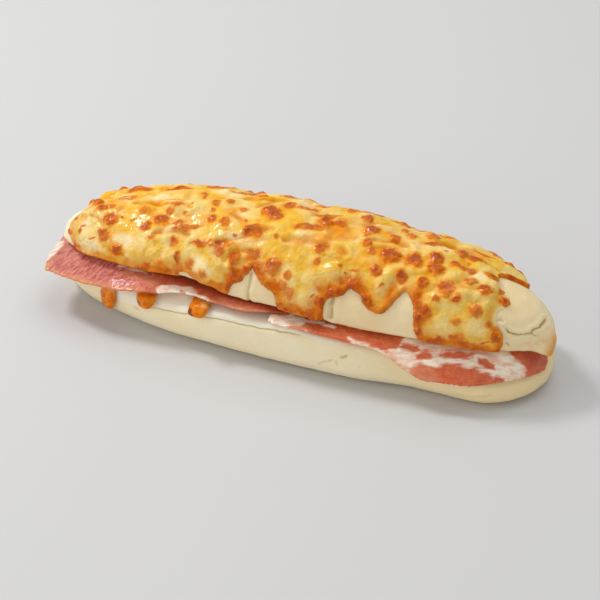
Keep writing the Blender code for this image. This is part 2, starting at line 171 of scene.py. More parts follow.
def depth_in(plane, outline):
    """Distance inside an outline, negative outside it."""
    gap, _ = distance_to_path(plane, list(outline) + [outline[0]])
    return np.where(inside_polygon(plane, outline), gap, -gap)


def strokes(plane, paths, thinning=1.5, tail=.85):
    """Distance in mm to the nearest stroke, and how strongly it shows there.

    The distance grows by thinning towards a stroke's ends.
    """
    nearest, shown = np.full(len(plane), 9), np.zeros(len(plane))
    for path, strength in paths:
        gap, place = distance_to_path(plane, path)
        gap = gap + thinning * (smooth(.12, 0, place) + smooth(tail, 1, place))
        shown = np.where(gap < nearest, strength, shown)
        nearest = np.minimum(nearest, gap)
    return nearest, shown


# ---- Mesh helpers ----

WELD_DISTANCE = 1e-6  # metres


def coordinates(mesh):
    """Vertex coordinates in millimetres."""
    flat = np.empty(len(mesh.vertices) * 3)
    mesh.vertices.foreach_get("co", flat)
    return flat.reshape(-1, 3) * MM


def in_scene(name, data):
    made = bpy.data.objects.new(name, data)
    bpy.context.scene.collection.objects.link(made)
    return made


def link(name, mesh, points, finish, replaced, slot, **fields):
    """Put a piece in the scene: its vertices at points in mm, held inside the CAD box, and
    the fields as vertex attributes that its material reads."""
    points = np.clip(points, BOX_LOW + BOX_MARGIN, BOX_HIGH - BOX_MARGIN)
    mesh.vertices.foreach_set("co", (points / MM).ravel())
    mesh.update()
    for field, values in fields.items():
        layer = mesh.attributes.new(field, "FLOAT", "POINT")
        layer.data.foreach_set("value", np.asarray(values, np.float32))
    mesh.materials.clear()
    mesh.materials.append(finish)
    mesh.shade_smooth()
    piece = in_scene(name, mesh)
    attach(piece, "root")
    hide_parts(replaced)


def fine_copy(node, voxel, rounds):
    """A copy of a node in even faces of voxel mm, its facets smoothed away in some rounds,
    with its points in mm and its normals."""
    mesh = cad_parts[node].data.copy()
    helper = in_scene("helper", mesh)
    helper.modifiers.new("weld", "WELD").merge_threshold = WELD_DISTANCE
    remesh = helper.modifiers.new("remesh", "REMESH")
    remesh.mode = "VOXEL"
    remesh.voxel_size = voxel / MM
    soften = helper.modifiers.new("soften", "SMOOTH")
    soften.factor = .5
    soften.iterations = rounds
    evaluated = helper.evaluated_get(bpy.context.evaluated_depsgraph_get())
    fine = bpy.data.meshes.new_from_object(evaluated)
    bpy.data.objects.remove(helper, do_unlink=True)
    bpy.data.meshes.remove(mesh)
    for attribute in list(fine.attributes):
        if not attribute.is_required and not attribute.is_internal:
            fine.attributes.remove(attribute)
    flat = np.empty(len(fine.vertices) * 3)
    fine.vertex_normals.foreach_get("vector", flat)
    return fine, coordinates(fine), flat.reshape(-1, 3)


def bvh_of(mesh):
    """A search tree in millimetres."""
    mesh.calc_loop_triangles()
    flat = np.empty(len(mesh.loop_triangles) * 3, np.int32)
    mesh.loop_triangles.foreach_get("vertices", flat)
    return BVHTree.FromPolygons(coordinates(mesh).tolist(), flat.reshape(-1, 3).tolist())


def closed_sheet(name, over, under, kept):
    """A closed sheet of two grids, the lower one with only the kept rows, its ends fanned."""
    rows, columns = over.shape[:2]
    upper = np.arange(rows * columns).reshape(rows, columns)
    lower = rows * columns + np.arange(len(kept) * columns).reshape(len(kept), columns)
    points = np.concatenate([over.reshape(-1, 3), under[kept].reshape(-1, 3)])
    quads = (
        (upper[:-1, :-1], upper[:-1, 1:], upper[1:, 1:], upper[1:, :-1]),
        (lower[:-1, :-1], lower[1:, :-1], lower[1:, 1:], lower[:-1, 1:]),
        (upper[0, 1:], upper[0, :-1], lower[0, :-1], lower[0, 1:]),
        (upper[-1, :-1], upper[-1, 1:], lower[-1, 1:], lower[-1, :-1]),
    )
    faces = [face for corners in quads for face in np.stack(corners, -1).reshape(-1, 4).tolist()]
    for side, turn in ((0, 1), (-1, -1)):
        for index, (first, last) in enumerate(zip(kept[:-1], kept[1:])):
            ring = [*upper[first:last + 1, side], lower[index + 1, side], lower[index, side]]
            faces.append([int(vertex) for vertex in ring[::turn]])
    mesh = bpy.data.meshes.new(name)
    mesh.from_pydata((points / MM).tolist(), [], faces)
    return mesh, points


# ---- Materials ----

class Finish:
    """A Principled material built node by node."""

    def __init__(self, name, palette=None, **settings):
        self.palette = palette
        self.material = bpy.data.materials.new(name)
        self.material.use_nodes = True
        self.tree = self.material.node_tree
        self.set(**settings)

    def set(self, **settings):
        """Plain values or node outputs for the shader's inputs, _ standing for a space."""
        shader = self.tree.nodes["Principled BSDF"]
        for key, value in settings.items():
            self.put(shader.inputs[key.replace("_", " ")], value)
        return self.material

    def put(self, socket, value):
        if isinstance(value, bpy.types.NodeSocket):
            self.tree.links.new(value, socket)
        else:
            socket.default_value = value

    def node(self, kind, inputs=None, **settings):
        made = self.tree.nodes.new("ShaderNode" + kind)
        for key, value in settings.items():
            setattr(made, key, value)
        for key, value in (inputs or {}).items():
            self.put(made.inputs[key], value)
        return made

    def attributes(self, *names):
        return (self.node("Attribute", attribute_name=name).outputs["Fac"] for name in names)

    def place(self):
        return self.node("TexCoord").outputs["Object"]

    def noise(self, size, detail=3, roughness=.55, distortion=0, stretch=(1, 1, 1), turn=0):
        """Noise with features of size mm, squeezed by stretch after a turn about Z in degrees."""
        spin = (0, 0, math.radians(turn))
        turned = self.node("Mapping", {"Vector": self.place(), "Rotation": spin}).outputs[0]
        squeezed = self.node("Mapping", {"Vector": turned, "Scale": stretch}).outputs[0]
        return self.node("TexNoise", {
            "Vector": squeezed, "Scale": MM / size, "Detail": detail, "Roughness": roughness,
            "Distortion": distortion}).outputs["Fac"]

    def pores(self, size):
        inputs = {"Vector": self.place(), "Scale": MM / size}
        return self.node("TexVoronoi", inputs).outputs["Distance"]

    def span(self, value, low, high, bottom=0, top=1, soft=False):
        """value mapped from low..high to bottom..top, clamped."""
        inputs = {"Value": value, "From Min": low, "From Max": high,
                  "To Min": bottom, "To Max": top}
        kind = "SMOOTHSTEP" if soft else "LINEAR"
        return self.node("MapRange", inputs, interpolation_type=kind).outputs[0]

    def vary(self, noise, bottom, top):
        """A noise's usual range mapped to bottom..top."""
        return self.span(noise, .3, .7, bottom, top)

    def between(self, share, bottom, top):
        return self.span(share, 0, 1, bottom, top)

    def maths(self, operation, first, second=0):
        return self.node("Math", {0: first, 1: second}, operation=operation).outputs[0]

    def plus(self, first, second):
        return self.maths("ADD", first, second)

    def times(self, first, second):
        return self.maths("MULTIPLY", first, second)

    def mix(self, share, first, second):
        """Colour first where share is 0, second where it is 1; a name is from the palette."""
        inputs = {0: share}
        for index, colour in ((6, first), (7, second)):  # a Mix node's colour sockets
            if isinstance(colour, str):
                colour = self.palette[colour]
            inputs[index] = (*colour, 1) if isinstance(colour, tuple) else colour
        return self.node("Mix", inputs, data_type="RGBA").outputs[2]

    def tones(self, noise, name, low=.35, high=.65):
        """The palette's pair of colours, the first where noise is low."""
        return self.mix(self.span(noise, low, high), *self.palette[name])

    def layers(self, base, *layers):
        """Colour base with layers over it, each a share and a colour."""
        for share, colour in layers:
            base = self.mix(share, base, colour)
        return base

    def bump(self, height, distance, strength=1, under=None):
        """Relief of distance mm over the relief under it."""
        inputs = {"Height": height, "Distance": distance / MM, "Strength": strength}
        if under is not None:
            inputs["Normal"] = under
        return self.node("Bump", inputs).outputs[0]


# Linear colours. A pair is the two ends of a noise.
BREAD = {
    "crust": ((.9, .8, .55), (.94, .87, .67)), "warm": (.87, .68, .36),
    "speck": (.76, .6, .34), "cut": (.93, .87, .74), "tan": (.74, .31, .045),
    # The seam and crack colours are painted shade for the dark lines in the grooves.
    "seam": (.5, .4, .09), "crack": (.52, .37, .13),
}
CHEESE = {
    "base": ((.82, .46, .032), (.88, .6, .125)), "pale": (.88, .68, .25),
    "cream": (.93, .78, .46), "speck": (.82, .39, .025), "gold": (.84, .34, .012),
    "toast": ((.62, .112, .001), (.77, .215, .003)),
    "amber": ((.54, .075, .0002), (.76, .195, .0006)),
    "core": ((.3, .036, .001), (.5, .085, .002)), "bare": (.86, .7, .4),
}
MELTED = {
    "base": ((.86, .6, .2), (.9, .72, .36)), "burnt": (.2, .03, .002),
    "toast": ((.62, .12, .0005), (.86, .27, .002)),
}
BACON = {
    "lean": ((.6, .08, .012), (.7, .145, .032)), "speck": (.78, .38, .24),
    "pink": ((.42, .052, .05), (.78, .3, .23)), "shade_under_crown": (.32, .036, .016),
    "salmon": ((.66, .19, .085), (.76, .32, .17)),
    "fat": ((.84, .5, .34), (.96, .84, .69)),
    "toasted": ((.6, .18, .03), (.84, .42, .12)),
}
FIBRE_TURN = 19  # degrees that the bacon's fibres lean


def bread_finish():
    """For heel and crown. The crown has no seam and no cut: fields that it lacks read as 0."""
    mat = Finish("soft_bread", BREAD, Subsurface_Weight=.35, Subsurface_Scale=.003,
                 Subsurface_Radius=(1, .62, .3), Specular_IOR_Level=.3)
    seam, seam_on, tan, warm, crack, crack_on, cut_on = mat.attributes(
        "seam", "seam_on", "tan", "warm", "crack", "crack_on", "cut_on")
    fine = mat.noise(1.1, roughness=.6)
    wavering = mat.plus(seam, mat.vary(mat.noise(4), -.25, .25))
    off_seam = mat.maths("ABSOLUTE", wavering)
    base = mat.layers(
        mat.tones(mat.noise(14, 4, .6), "crust", .35, .68),
        (warm, "warm"), (mat.span(fine, .4, .75, 0, .14), "speck"),
        (mat.times(mat.span(wavering, -.25, .15, soft=True), cut_on), "cut"),
        (tan, "tan"),
        # Painted shade along the seam, where the cut face folds over the rim.
        (mat.times(mat.span(off_seam, .1, .42, 1, 0, True), seam_on), "seam"),
        # Painted shade in the cracks and wrinkles.
        (mat.times(mat.span(crack, .2, .9, 1, 0, True), crack_on), "crack"))
    pores = mat.bump(mat.span(mat.pores(1.3), 0, .55), .05, .5)
    return mat.set(Base_Color=base, Roughness=mat.vary(fine, .62, .48),
                   Normal=mat.bump(fine, .16, .6, pores))


def cheese_finish():
    mat = Finish("browned_cheese", CHEESE, Subsurface_Weight=.22, Subsurface_Scale=.0014,
                 Subsurface_Radius=(1, .5, .1), Specular_IOR_Level=.14,
                 Specular_Tint=(1, .68, .25, 1), Coat_Roughness=.1)
    blister, heart, dark, amber, core = mat.attributes(
        "blister", "heart", "dark", "amber", "core")
    gold, pale, cream, bare, wet = mat.attributes("gold", "pale", "cream", "bare", "wet")
    fine = mat.noise(1.1, 4, .65)
    coarse = mat.noise(2.6)
    ragged = mat.vary(fine, -.22, .22)
    spot = mat.span(mat.plus(blister, ragged), .32, .72, soft=True)
    spot = mat.times(spot, mat.between(dark, .6, 1))
    middle = mat.span(mat.plus(heart, ragged), .68, 1.15, soft=True)
    middle = mat.maths("MAXIMUM", mat.times(middle, dark), core)
    base = mat.layers(
        mat.tones(mat.noise(6, 5, .6, .4), "base", .42, .58),
        (pale, "pale"), (cream, "cream"),
        (mat.span(fine, .45, .75, 0, .3), "speck"), (gold, "gold"),
        (spot, mat.tones(coarse, "toast")),
        (amber, mat.tones(coarse, "amber")),
        (middle, mat.tones(fine, "core", .3, .6)), (bare, "bare"))
    dry = mat.vary(mat.noise(3.2, 2), .46, .6)
    beads = mat.times(mat.noise(1.3, 2, .6), wet)
    low = mat.bump(beads, .62, 1, mat.bump(coarse, .4, .6))
    return mat.set(Base_Color=base, Normal=mat.bump(fine, .14, .6, low),
                   Roughness=mat.maths("SUBTRACT", dry, mat.between(wet, 0, .22)),
                   Coat_Weight=mat.times(mat.between(wet, .02, .7),
                                         mat.between(amber, 1, .32)))


def melted_finish():
    mat = Finish("melted_cheese", MELTED, Subsurface_Weight=.22, Subsurface_Scale=.0014,
                 Subsurface_Radius=(1, .4, .08), Specular_IOR_Level=.4,
                 Specular_Tint=(1, .62, .18, 1), Coat_Weight=.16, Coat_Roughness=.08)
    brown, burnt = mat.attributes("brown", "burnt")
    fine = mat.noise(.9)
    base = mat.layers(
        mat.tones(fine, "base", .35, .7),
        (brown, mat.tones(mat.noise(2.4), "toast")),
        (burnt, "burnt"))
    return mat.set(Base_Color=base, Roughness=mat.vary(fine, .22, .38),
                   Normal=mat.bump(mat.noise(1.3), .25, .6))


def bacon_finish():
    mat = Finish("bacon", BACON, Subsurface_Weight=.2, Subsurface_Scale=.0012,
                 Subsurface_Radius=(1, .35, .2), Specular_IOR_Level=.5,
                 Specular_Tint=(1, .78, .68, 1), Coat_Weight=.2, Coat_Roughness=.1)
    fat, shade_under_crown, toasted, pink, salmon = mat.attributes(
        "fat", "shade_under_crown", "toasted", "pink", "salmon")
    fibre = mat.noise(1.05, 4, .65, .4, stretch=(1, .24, .5), turn=FIBRE_TURN)
    strand = mat.noise(1.7, 4, .6, .3, stretch=(.22, 1, .6), turn=-FIBRE_TURN)
    soft = mat.noise(3.4, 4, .6)
    fine = mat.noise(.8, 2)
    ragged = mat.plus(fat, mat.vary(strand, -.6, .6))
    base = mat.layers(
        mat.tones(soft, "lean", .38, .62),
        (mat.span(fine, .52, .75, 0, .3), "speck"),
        (pink, mat.tones(fibre, "pink", .36, .64)),
        # Painted shade on the lean where it runs under the crown.
        (salmon, mat.tones(soft, "salmon")), (shade_under_crown, "shade_under_crown"),
        # The fat colour also paints the sheen at the left slice's tip.
        (mat.span(ragged, -.7, .6, soft=True), mat.tones(strand, "fat", .38, .58)),
        (toasted, mat.tones(fine, "toasted", .3, .7)))
    low = mat.bump(mat.times(fibre, mat.between(pink, .15, 1)), .6)
    low = mat.bump(strand, .45, .9, low)
    return mat.set(Base_Color=base, Roughness=mat.vary(soft, .4, .24),
                   Normal=mat.bump(fine, .3, .8, low))


# ---- Places on the crown ----

CORE = 78  # half length of the straight core line, mm
CORE_HEIGHT = 24.5
END_RADIUS = 27
ARC = .47  # mm of surface in a degree of theta, about
SHIFT = 1.1  # mm from the places as read to the frame


def capsule_of(points):
    """Place along and angle from the top of each point."""
    x, y, z = points.T
    core = np.clip(x, -CORE, CORE)
    rise = z - CORE_HEIGHT
    a = core + np.arctan2(x - core, np.hypot(y, rise)) * END_RADIUS
    return a, np.degrees(np.arctan2(-y, rise))


def ray_of(a, theta):
    """Origin and outward direction for places along and angles from the top."""
    core = np.clip(a, -CORE, CORE)
    lean = (a - core) / END_RADIUS
    turn = np.radians(theta)
    origin = np.stack([core, 0 * core, 0 * core + CORE_HEIGHT], -1)
    way = np.stack([np.sin(lean), -np.cos(lean) * np.sin(turn), np.cos(lean) * np.cos(turn)], -1)
    return origin, way


def on_crown(lines):
    """Strokes in (a, theta) as strokes in millimetres."""
    return [(np.array(path, float) * (1, ARC), strength) for path, strength in lines]


# ---- Bread ----

HEEL_VOXEL, CROWN_VOXEL, BREAD_ROUNDS = .8, .7, 8
HEEL_SWELL, HEEL_RIPPLE = .42, .14  # heights and depths in mm
CROWN_SWELL, CROWN_RIPPLE = .4, .12
SEAM_DEPTH, WRINKLE_DEPTH = .45, .35
CRACK_DEPTH, CRACK_SHOULDER = .9, .4
EAR_OUT, EAR_DOWN = 2, 1.5  # how far the browned ear is drawn, mm

# The seam along the heel's open side, where the pale cut face folds over the rim: x and z.
SEAM_LINE = ((-64, -52, -44, -35, -20, -8, 2, 14, 30),
             (10.6, 12.8, 14.2, 15.6, 17, 17.9, 18.3, 18.6, 18.4))

# Wrinkles on the heel's open side as (x, z) strokes in mm, each with its strength; they are
# grooved and darkened with painted shade.
HEEL_WRINKLES = (
    (((31.5, 15.6), (31, 14.4), (29.5, 13.4), (27.6, 13)), .65),
    (((26.5, 12.2), (24, 10.6), (20.5, 8.6), (18.5, 6.8)), .35),
    (((26.3, 12), (27.3, 10.4), (27.6, 8.8)), .3),
    (((36.5, 11.2), (36, 9.6)), .3),
    (((-62, 10.5), (-58, 9.5)), .35),
    (((70, 5.2), (80, 6.2), (90, 7.4)), .22),
)

# Creases and cracks in the crown as (a, theta) strokes, each with its strength; they are grooved
# and darkened with painted shade.
BREAD_LINES = (
    (((-11.5, 57), (-11.2, 66), (-11.6, 76), (-11, 90)), .6),
    (((22.9, 64), (22.6, 74), (23, 88)), .75),
    (((21.4, 70), (21.8, 80), (21.2, 87)), .35),
    (((90.5, 57), (92, 60), (94, 63), (95, 68), (98, 70.5), (101, 71.5), (104, 69.5), (107, 68.5),
      (108.3, 62), (109.3, 56), (112, 49), (113.6, 30), (114.2, 12), (114, -12)), 1),
    (((107, 68.5), (109, 71), (111, 76)), .5),
    (((87, 55.5), (90, 53), (92.5, 54.5)), .5),
    (((94.5, 82), (95.2, 86), (97, 90.5)), .6),
)


def heel(finish):
    mesh, points, out = fine_copy("bun_bottom", HEEL_VOXEL, BREAD_ROUNDS)
    x, y, z = points.T
    side = smooth(-18, -22, y)
    line = np.interp(x, *SEAM_LINE) + .3 * np.sin(x / 5) + .25 * noise_along(x, 6, 21)
    seam = np.clip(z - line, -4, 4)
    seam_on = side * smooth(-60, -46, x) * smooth(14, 9, x)
    bent = np.stack([x, z], -1) + .5 * pair(points / 3, 33)
    crack, crack_on = strokes(bent, HEEL_WRINKLES)
    crack_on = crack_on * side
    height = HEEL_SWELL * fractal(points, (26, 16, 12), seed=3)
    height += HEEL_RIPPLE * fractal(points, 6, seed=9)
    height -= SEAM_DEPTH * hump(seam, .7) * seam_on + WRINKLE_DEPTH * hump(crack, .8) * crack_on
    moved = points + out * (height * smooth(.05, 1.5, z))[:, None]
    blotches = smooth(.1, .6, fractal(points, 20, 3, seed=14)) * smooth(.3, -.3, out[:, 1])
    warm = .3 + .45 * smooth(20, 90, x) + .3 * fractal(points, 30, seed=18)
    link("heel_bread", mesh, moved, finish, "bun_bottom", "bread", seam=seam,
         seam_on=.8 * seam_on, crack=crack, crack_on=crack_on, warm=unit(warm),
         cut_on=.75 * side * smooth(-100, -88, x) * smooth(40, 15, x),
         tan=unit(.12 * smooth(2.5, 0, z) + .08 * blotches))


def crown(finish):
    mesh, points, out = fine_copy("bun_top", CROWN_VOXEL, BREAD_ROUNDS)
    x, y, z = points.T
    a, theta = capsule_of(points)
    bent = np.stack([a, theta * ARC], -1) + .7 * pair(points / 3, 41)
    crack, crack_on = strokes(bent, on_crown(BREAD_LINES))
    crack_shape = CRACK_DEPTH * hump(crack, .9) - CRACK_SHOULDER * hump(crack - 2.1, 1.1)
    height = CROWN_SWELL * fractal(points, (22, 14, 12), seed=5)
    height += CROWN_RIPPLE * fractal(points, 5, seed=7) - crack_shape * crack_on
    ear = smooth(98, 102, x) * bell(y, -4, 7) * smooth(27.5, 22.5, z)
    moved = points + out * height[:, None]
    moved += ear[:, None] * (EAR_OUT, 0, -EAR_DOWN)
    edge = smooth(27.5, 24, z) * smooth(88, 100, x) * smooth(-.3, .3, noise(points / 3, 43))
    browned = smooth(100.6, 103, x) * bell(y, -5, 10) * smooth(28, 23, z)
    browned *= smooth(-.7, -.1, fractal(points, 3, seed=4))
    tan = np.maximum(browned, .4 * edge)
    tan += .1 * smooth(0, .6, fractal(points, 16, 3, seed=15))
    # Painted light: the warm tint fades out towards the far left end, so that end is paler where
    # the light falls on it.
    warm = .72 - smooth(-70, -95, x) + .3 * fractal(points, 24, seed=19)
    link("crown_bread", mesh, moved, finish, "bun_top", "bread", crack=crack,
         crack_on=crack_on, tan=unit(tan), warm=unit(warm))
    return mesh


# ---- Baked cheese ----

PITCH, RISE, BACK_RISE = .5, .44, .9  # mm from column to column and row to row
FIRST_COLUMN, LAST_COLUMN = -112.5, 97.6
BACK_START, LAST_ROW = 62, 81.5  # arcs where the wider rows start and end
HANG_ROWS = 7  # rows that hang below the lip
LEAST_HANG, SPARE_HANG = .4, .15
KEEP_EVERY = 4  # rows of its underside: one in this many
LIP_STEP = 6  # columns from one reading of the lip to the next
LIP_LOW, LIP_HIGH, LIP_HALVINGS = 60, 115, 14
RAY_START, RAY_LENGTH = 60, 59  # mm out from the core line, and inwards
UNDERSIDE = -.55  # the z of a normal that belongs to the crown's underside
PILLOW_LEAN = math.radians(26)
FOLD_DEPTH, FOLD_SHOULDER = 1, .55  # mm
BLISTER_HEIGHT = .41  # of the blister's radius
MIDDLE = 1.5  # a blister's field at its middle; it is 0.5 at its edge
RIM_DEPTH, SHEET_DEPTH, TOP_DEPTH, RIM_BEAD = 1.25, 1.2, .5, .35  # thicknesses in mm
SINK, EDGE_SINK = .95, .55  # mm that the sheet and its edge go into the bread

# Blisters: (a, theta, radius in mm, darkness, and where it isn't 1 the stretch along the roll).
BLISTERS = (
    (-100, 10, 2.5, .8, 1.3), (-91.5, 17, 2.8, .9, 1.3), (-84, 26, 2.8, .9, 1.6),
    (-77.3, 38, 3.2, .8), (-105, 42, 2, .6), (-78.5, 58, 3, .7), (-95, 62, 1.8, .6, .7),
    (-106, 71, 2.5, .6), (-72, 70, 3, 1), (-61.5, 38, 2.2, 1), (-56, 30, 2.4, 1, 1.4),
    (-65, 22, 2, .35), (-73, -15, 2.4, .9, 1.8), (-83, -32, 2.2, .8, 1.5),
    (-76, 3, 2, .3, 1.8), (-52, 9, 2, .6), (-54.5, 18, 1.5, .6), (-48.5, 29, 1.8, .6),
    (-43.5, 32, 1.6, .6, 3), (-47.5, 48, 1.8, .6), (-44.5, 61, 2.2, 1, .55),
    (-39.5, 64, 2, .35), (-36, 44, 1.6, .6, 2.4), (-36, 18, 1.8, .9), (-30, 20, 2, .6),
    (-37.5, -2, 1.8, .6), (-32, -5, 1.2, .8), (-25, 1, 1.5, .35), (-44.5, -15, 1.5, .6),
    (-57, -28, 2.2, .95, 2.4), (-45, -35, 1.9, .9, 3), (-30, -35, 1.9, .9, 2.2),
    (-27.5, 41, 1.6, .6, 2.6), (-27.5, 48, 2.2, .6), (-16.5, 23, 3, .9, 1.2),
    (-20.5, 49, 2.8, .9), (-14.5, 43, 2, .35), (-11.5, 42, 2, .6), (-15, 57, 1.6, .9),
    (-18.5, 67, 3.2, .95), (-11, 55, 1.8, .9), (-13, -1, 3, .95, 1.1), (-10.2, 3, 2.6, .7),
    (-8, -14, 2.2, .9), (-22, -28, 2, .9), (-12, -38, 1.5, .8, 1.5), (-1, -16, 1.7, .6, 2.3),
    (4.5, -28, 1, .9), (5.5, -38, 1.2, .9, 2.2), (15, -30, 1.5, .7), (8.5, -13, 1.7, .6, 3),
    (10, -4, 2.3, .9, 1.3), (15, -5, 2.2, .9, 1.2), (5, 7, 1.8, .6, 3.2), (12.5, 26, 2.2, .9),
    (12.5, 38, 1.5, .35), (-4, 49, 3.4, .65), (2.5, 53, 1.6, .6), (1.5, 64, 2, .35),
    (5, 70, 2, .3), (21.5, 60, 2.8, .85), (17.5, 71, 2.4, .85), (15, 83, 3, .6),
    (22, -38, 1.6, .7, 3.5), (35.5, -40, 1.3, .9, 2.2), (23.5, -22, 2, .6),
    (27.5, -7, 2.6, .95), (26.5, 0, 1.2, .8), (28.5, 10, 1.7, .9), (31.5, 17, 1.5, .35),
    (37, -6.5, 2.2, .6), (42, -17, 2.2, .7), (50, -25, 2.4, .7), (38.5, -25, 1.6, .35),
    (38.5, 15, 3.3, .95), (48, 14, 3, .95), (35.5, 34, 2.2, .7), (45, 33, 2.6, .95, .7),
    (55.5, 6, 2.5, .95), (56.5, 17, 2.8, .95), (54, 34, 2.3, .9), (28.5, 51, 3.2, .85),
    (34.5, 62, 2.8, .9), (57, 60, 2.7, .9), (55.5, 68, 2.8, .9), (53.5, 54, 2, .4),
    (56, 80, 2, .9), (52, -16, 1.5, .9, 2.3), (62.5, 3, 1.8, .9), (65.5, 5, 1.4, .7),
    (62.5, -15, 2.2, .7), (68, -18, 1.7, .9, 2.2), (68.5, 4, 1.8, .6), (70, 18, 2, .35),
    (76, 22, 2.2, .95), (78.5, 22, 1.2, .8), (62.5, 34, 3, .7), (67, 41, 2, .9),
    (75, 48, 2.8, .4), (69, 63, 1.8, .3), (82.5, 60, 2, .4), (87.5, 76, 3.2, .7),
    (77.5, -4, 1.9, .95, 1.8), (84.5, 10, 2, .6), (89, 23, 3, .9), (64, 84, 2, .8, 1.3),
    (70.5, 80, 2.5, .6), (73.5, 85, 2, .6, 1.3), (80, -42, 1.4, .9, 2.2),
    (87, -50, 1.4, .9, 2.2), (84, -57, 1.2, .8, 2), (-33, 71, 1.6, .35), (-22, 77, 1.8, .45),
    (-43, 72, 1.6, .4), (60, 45, 1.5, .5),
)

# The edge as (a, theta); LIP stands for the crown's lip, with a drop below it in mm.
LIP = 1000
CHEESE_EDGE = (
    (-106.8, 40), (-107.8, 55), (-108, 66), (-105.5, 76), (-101, 84), (-97, LIP - .6),
    (-93, LIP + .2), (-80, LIP + .2), (-65, LIP + .4), (-46, LIP + .6), (-44.5, LIP + .2),
    (-43.6, 80), (-42.5, 75), (-41, 73.5), (-39, 74.5), (-36.5, 77), (-33, 79.5), (-30, 81),
    (-28, LIP - .6), (-23.5, LIP + .1), (-21.2, 84), (-20.5, 78), (-19.5, 73.5), (-17, 71),
    (-15.5, 69), (-14.8, 65), (-13.6, 61), (-12.3, 56), (-11, 60), (-9.5, 64), (-7.5, 67.5),
    (-5, 70), (-3, 72), (-1.3, 74.5), (-.8, 82), (.2, LIP + .8), (4, LIP + 1.6), (9, LIP + 1.8),
    (13, LIP + 1.8), (16.6, LIP + 1.6), (18.6, LIP + .3), (18.3, 76), (18.8, 70.5), (20, 67),
    (22.3, 65), (25.2, 62), (26.2, 57.5), (27.4, 55), (30.5, 57.5), (32.3, 60.5), (33, 63.5),
    (34.3, 67.5), (36.7, 70.5), (38.7, 72), (40.5, 71.5), (42, 70), (43.3, 65.5), (44.5, 61),
    (45.4, 56.5), (46.6, 51.5), (48, 46.5), (49.6, 49), (51, 53), (52.3, 57), (53.3, 65),
    (53.6, 74), (54.4, 81), (55.8, LIP - .1), (60, LIP + .3), (70, LIP + .5), (80, LIP + .6),
    (86, LIP + .6), (90.4, LIP + .4), (92, 85), (91.8, 76), (91, 70), (89, 66), (87.2, 60),
    (86.3, 50), (88, 40), (91, 33), (93, 26), (91, 16), (88, 9), (83.5, 3), (80.5, -5),
    (79, -12), (80.5, -18), (84, -23), (88, -28), (92, -33), (95.5, -39), (96, -47), (93.5, -56),
    (89, -65), (82, -75), (70, -82), (50, -85), (25, -84), (0, -86), (-25, -84), (-50, -86),
    (-72, -84), (-88, -76), (-98, -60), (-102, -40), (-102.5, -18), (-102.5, 0), (-104, 20),
)

# Folds where the melted cheese slid over itself, as (a, theta) strokes.
FOLDS = (
    ((-31, 48), (-27, 43), (-22, 37), (-17, 30), (-12, 24), (-6, 20)),
    ((-3, 36), (-2.5, 29), (3, 26), (10, 25), (18, 27), (26, 30)),
    ((-58, 50), (-52, 45), (-46, 42), (-38, 43)),
    ((-25, 60), (-22, 50), (-17, 45), (-12, 45), (-9, 50)),
    ((-72, 18), (-62, 14), (-52, 11), (-42, 13)),
    ((6, -2), (14, -6), (22, -8), (30, -15)),
    ((26, 14), (31, 7), (38, 3), (46, 4)),
    ((-30, -12), (-20, -16), (-10, -24), (2, -30)),
    ((-92, 40), (-84, 44), (-76, 50)),
    ((50, -14), (60, -20), (70, -26)),
    ((-50, -60), (-38, -54), (-22, -58), (-8, -52)),
    ((10, -62), (24, -55), (40, -60), (58, -54)),
)

# Paler patches: (a, theta, half length, half width), the two halves in mm.
CREAM = (
    (-85, 74, 9, 5), (-92, 55, 5, 4), (-68, 60, 8, 3.5), (-50, 40, 6, 2.5), (-60, 5, 7, 3),
    (-33, 68, 8, 5), (-22, 36, 7, 2.5), (-16, 33, 7, 3.5), (-26, 12, 6, 3), (6, 22, 6, 4),
    (14, 68, 3, 6), (0, 66, 4, 4), (-35, -22, 9, 3), (20, 12, 8, 3), (-3, -25, 9, 3),
    (30, -14, 7, 3), (46, 46, 3, 3), (66, 72, 7, 5), (78, 66, 6, 5), (60, -10, 7, 3),
    (72, 10, 5, 3), (48, -4, 5, 3), (-96, 20, 5, 4), (-20, -60, 12, 4), (30, -65, 12, 4),
    (65, -50, 9, 4), (-60, -60, 12, 4),
)

# How browned the front rim is along the roll: a and the heat there.
RIM_HEAT = (
    (-112, -100, -96, -90, -80, -66, -60, -46, -42, -30, -24, -20, -10, -4, 0, 17, 24, 30, 36, 44,
     47, 50, 54, 60, 68, 76, 90, 97),
    (.6, .7, .9, .45, .35, .5, .95, 1, .35, .35, .6, .8, .7, .8, 1, .95, .8,
     1, .85, .75, .3, .4, .95, 1, .75, .8, .9, .3),
)


def crown_radius(tree, origin, way):
    """Distance out to the crown's outer wall on one ray, NaN where the ray misses the wall."""
    start = Vector(origin + way * RAY_START)
    hit, normal, _, _ = tree.ray_cast(start, Vector(-way), RAY_LENGTH)
    if hit is None or normal.z < UNDERSIDE:
        return np.nan
    return (hit - Vector(origin)).length


def lip_angles(tree, columns):
    """Theta of the lip at each column: the lowest ray that still meets the crown's outer wall."""
    found = []
    for a in columns[::LIP_STEP]:
        low, high = LIP_LOW, LIP_HIGH
        for _ in range(LIP_HALVINGS):
            middle = (low + high) / 2
            if np.isnan(crown_radius(tree, *ray_of(a, np.float64(middle)))):
                high = middle
            else:
                low = middle
        found.append(low)
    lips = np.interp(columns, columns[::LIP_STEP], found)
    window = 2 * LIP_STEP + 1
    return np.convolve(np.pad(lips, LIP_STEP, mode="edge"), np.ones(window) / window, "valid")


def edge_in_plane(columns, lips):
    """The edge as (place along, arc up from the lip)."""
    edge = []
    for a, theta in CHEESE_EDGE:
        a = a + SHIFT
        below = theta > LIP - 5
        edge.append((a, LIP - theta if below else (np.interp(a, columns, lips) - theta) * ARC))
    return np.array(edge)


